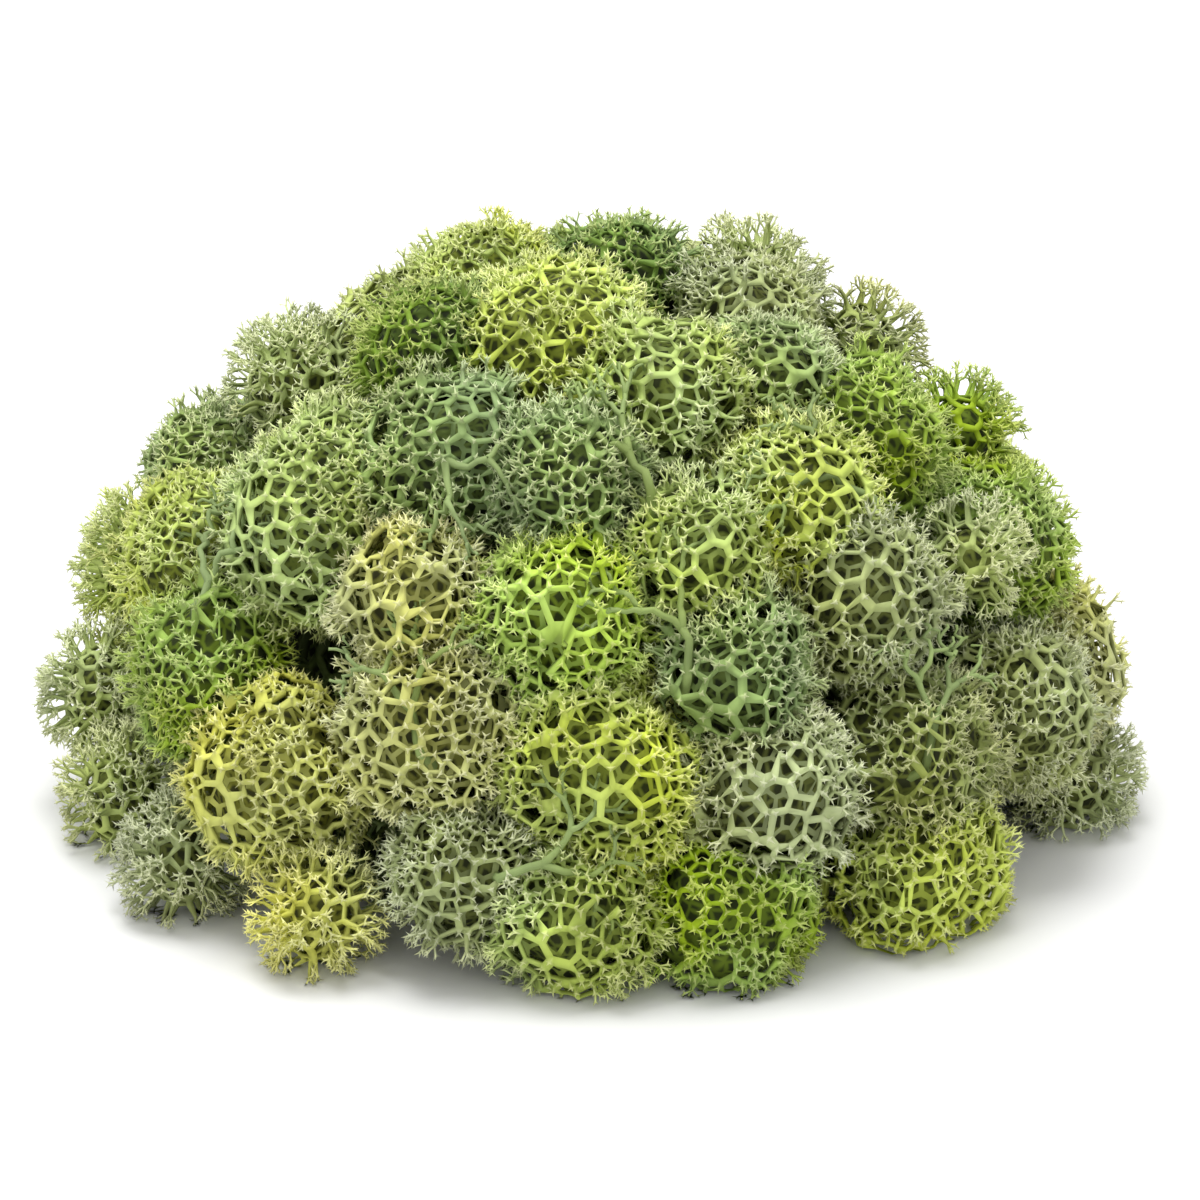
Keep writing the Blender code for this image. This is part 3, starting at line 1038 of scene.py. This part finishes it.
def moss_finish(tint):
    """The finish of branches and tips in one tint."""
    branches, tips = (linear(colour) for colour in TINTS[tint])
    material, tree, shader, place = new_finish(f"moss_lace_{tint}", LACE_ROUGHNESS)
    reach = tree.nodes.new("ShaderNodeAttribute")
    reach.attribute_name = "reach"
    ramp = tree.nodes.new("ShaderNodeValToRGB")
    colours = ramp.color_ramp.elements
    # painted shade at reach 0, for the bottoms of hole walls deep in a head
    colours[0].color = shade(branches, DEEP_SHADE)
    colours[1].color = (*tips, 1)
    colours.new(LACE_REACH).color = (*branches, 1)
    tree.links.new(reach.outputs["Fac"], ramp.inputs["Fac"])
    vary = tree.nodes.new("ShaderNodeHueSaturation")
    tree.links.new(ramp.outputs["Color"], vary.inputs["Color"])
    noises = {}
    for label, settings in NOISES.items():
        noises[label] = add_node(tree, "ShaderNodeTexNoise", **settings)
        tree.links.new(place, noises[label].inputs["Vector"])
    for target, label, (low, high), (first, last) in CHANGES:
        spread = add_node(
            tree, "ShaderNodeMapRange", From_Min=low, From_Max=high, To_Min=first, To_Max=last
        )
        tree.links.new(noises[label].outputs["Fac"], spread.inputs["Value"])
        tree.links.new(spread.outputs["Result"], vary.inputs[target])
    tree.links.new(vary.outputs["Color"], shader.inputs["Base Color"])
    return material


# %% [markdown]
# ## The painted shade of the hollows
#
# Deep inside a head there is only shade, so this finish is painted shade: dark, with the paler
# lines of branches that cross each other. A Voronoi pattern, coloured by the distance to the edges
# of its cells, draws such lines.

# %% Mix the painted shade of the hollows
HOLLOW_ROUGHNESS = 0.9
HOLLOW_CELLS = 420.0  # cells to a metre, so one is about 2.4 mm wide
LINE_EDGE, GAP_EDGE = 0.06, 0.22  # how far from an edge a line ends and the dark begins, in cells
LINE_SHADE, GAP_SHADE = 0.5, 0.09


def painted_shade_finish(tint):
    """Painted shade for the inside: dark, with the paler lines of deeper branches."""
    branches = linear(TINTS[tint][0])
    material, tree, shader, place = new_finish(f"moss_painted_shade_{tint}", HOLLOW_ROUGHNESS)
    cells = add_node(tree, "ShaderNodeTexVoronoi", Scale=HOLLOW_CELLS)
    cells.feature = "DISTANCE_TO_EDGE"
    tree.links.new(place, cells.inputs["Vector"])
    ramp = tree.nodes.new("ShaderNodeValToRGB")
    colours = ramp.color_ramp.elements
    colours[0].position = LINE_EDGE
    colours[0].color = shade(branches, LINE_SHADE)
    colours[1].position = GAP_EDGE
    colours[1].color = shade(branches, GAP_SHADE)
    tree.links.new(cells.outputs["Distance"], ramp.inputs["Fac"])
    tree.links.new(ramp.outputs["Color"], shader.inputs["Base Color"])
    return material


# %% [markdown]
# ## Dressing the pieces
#
# The name of a node's material slot ends in its tint. Each piece takes the finish of the lace in
# its first slot and the painted shade of the hollows in its second, and then stands in for its CAD
# node.

# %% Give each piece its finishes
finishes = {}
for name, piece in list(heads.items()) + [(MAT, mat)]:
    tint = slot_of[name].removeprefix("moss_")
    if tint not in finishes:
        finishes[tint] = (moss_finish(tint), painted_shade_finish(tint))
    for material in finishes[tint]:
        piece.data.materials.append(material)
    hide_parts(name)
    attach(piece, "root")
print(len(finishes), "tints are in use")

# %% [markdown]
# ## The stage
#
# The clump lies on a white table in even light. A large soft light from above and a bright white
# surrounding leave only a faint shadow where it touches the table.

# %% Make the floor and the light
FLOOR_SIZE = 6  # metres
FLOOR_WHITE = 0.76
SURROUNDING = 1.05
LIT_POINT = Vector((0, 0, 0.04))

bpy.ops.mesh.primitive_plane_add(size=FLOOR_SIZE)
floor = bpy.context.object
floor.name = "white_table"
white = bpy.data.materials.new("white_table")
white.use_nodes = True
table_inputs = white.node_tree.nodes["Principled BSDF"].inputs
table_inputs["Base Color"].default_value = (FLOOR_WHITE, FLOOR_WHITE, FLOOR_WHITE, 1)
table_inputs["Roughness"].default_value = 0.8
table_inputs["Specular IOR Level"].default_value = 0.1
floor.data.materials.append(white)

world = bpy.data.worlds.new("studio")
bpy.context.scene.world = world
world.use_nodes = True
background = world.node_tree.nodes["Background"]
background.inputs["Color"].default_value = (1, 1, 1, 1)
background.inputs["Strength"].default_value = SURROUNDING


def soft_light(name, place, size, watts):
    """A round area light that shines on the clump."""
    light = bpy.data.lights.new(name, "AREA")
    light.shape = "DISK"
    light.size = size
    light.energy = watts
    lamp = bpy.data.objects.new(name, light)
    lamp.location = place
    lamp.rotation_euler = (LIT_POINT - Vector(place)).to_track_quat("-Z", "Y").to_euler()
    bpy.context.scene.collection.objects.link(lamp)
    return lamp


overhead = soft_light("overhead", (-0.12, 0.06, 1.1), 0.7, 10)
print("light", overhead.name, "at", tuple(overhead.location))

# %% [markdown]
# ## The camera
#
# The camera looks down at the clump from the front at the angle of the photograph, through a long
# lens, which keeps the heads at the side from leaning away. The `Standard` view shows the greens
# as they were mixed.

# %% Place the camera
ELEVATION = 22
LENS = 120
DISTANCE = 0.76
AIM = Vector((0, 0, 39 * MM))

camera_data = bpy.data.cameras.new("camera")
camera_data.lens = LENS
camera_data.clip_start = 0.01
camera = bpy.data.objects.new("camera", camera_data)
rise = math.radians(ELEVATION)
camera.location = AIM + Vector((0, -math.cos(rise), math.sin(rise))) * DISTANCE
camera.rotation_euler = (AIM - camera.location).to_track_quat("-Z", "Y").to_euler()
bpy.context.scene.collection.objects.link(camera)
bpy.context.scene.camera = camera
bpy.context.scene.view_settings.view_transform = "Standard"
print("camera at", [round(part, 3) for part in camera.location])
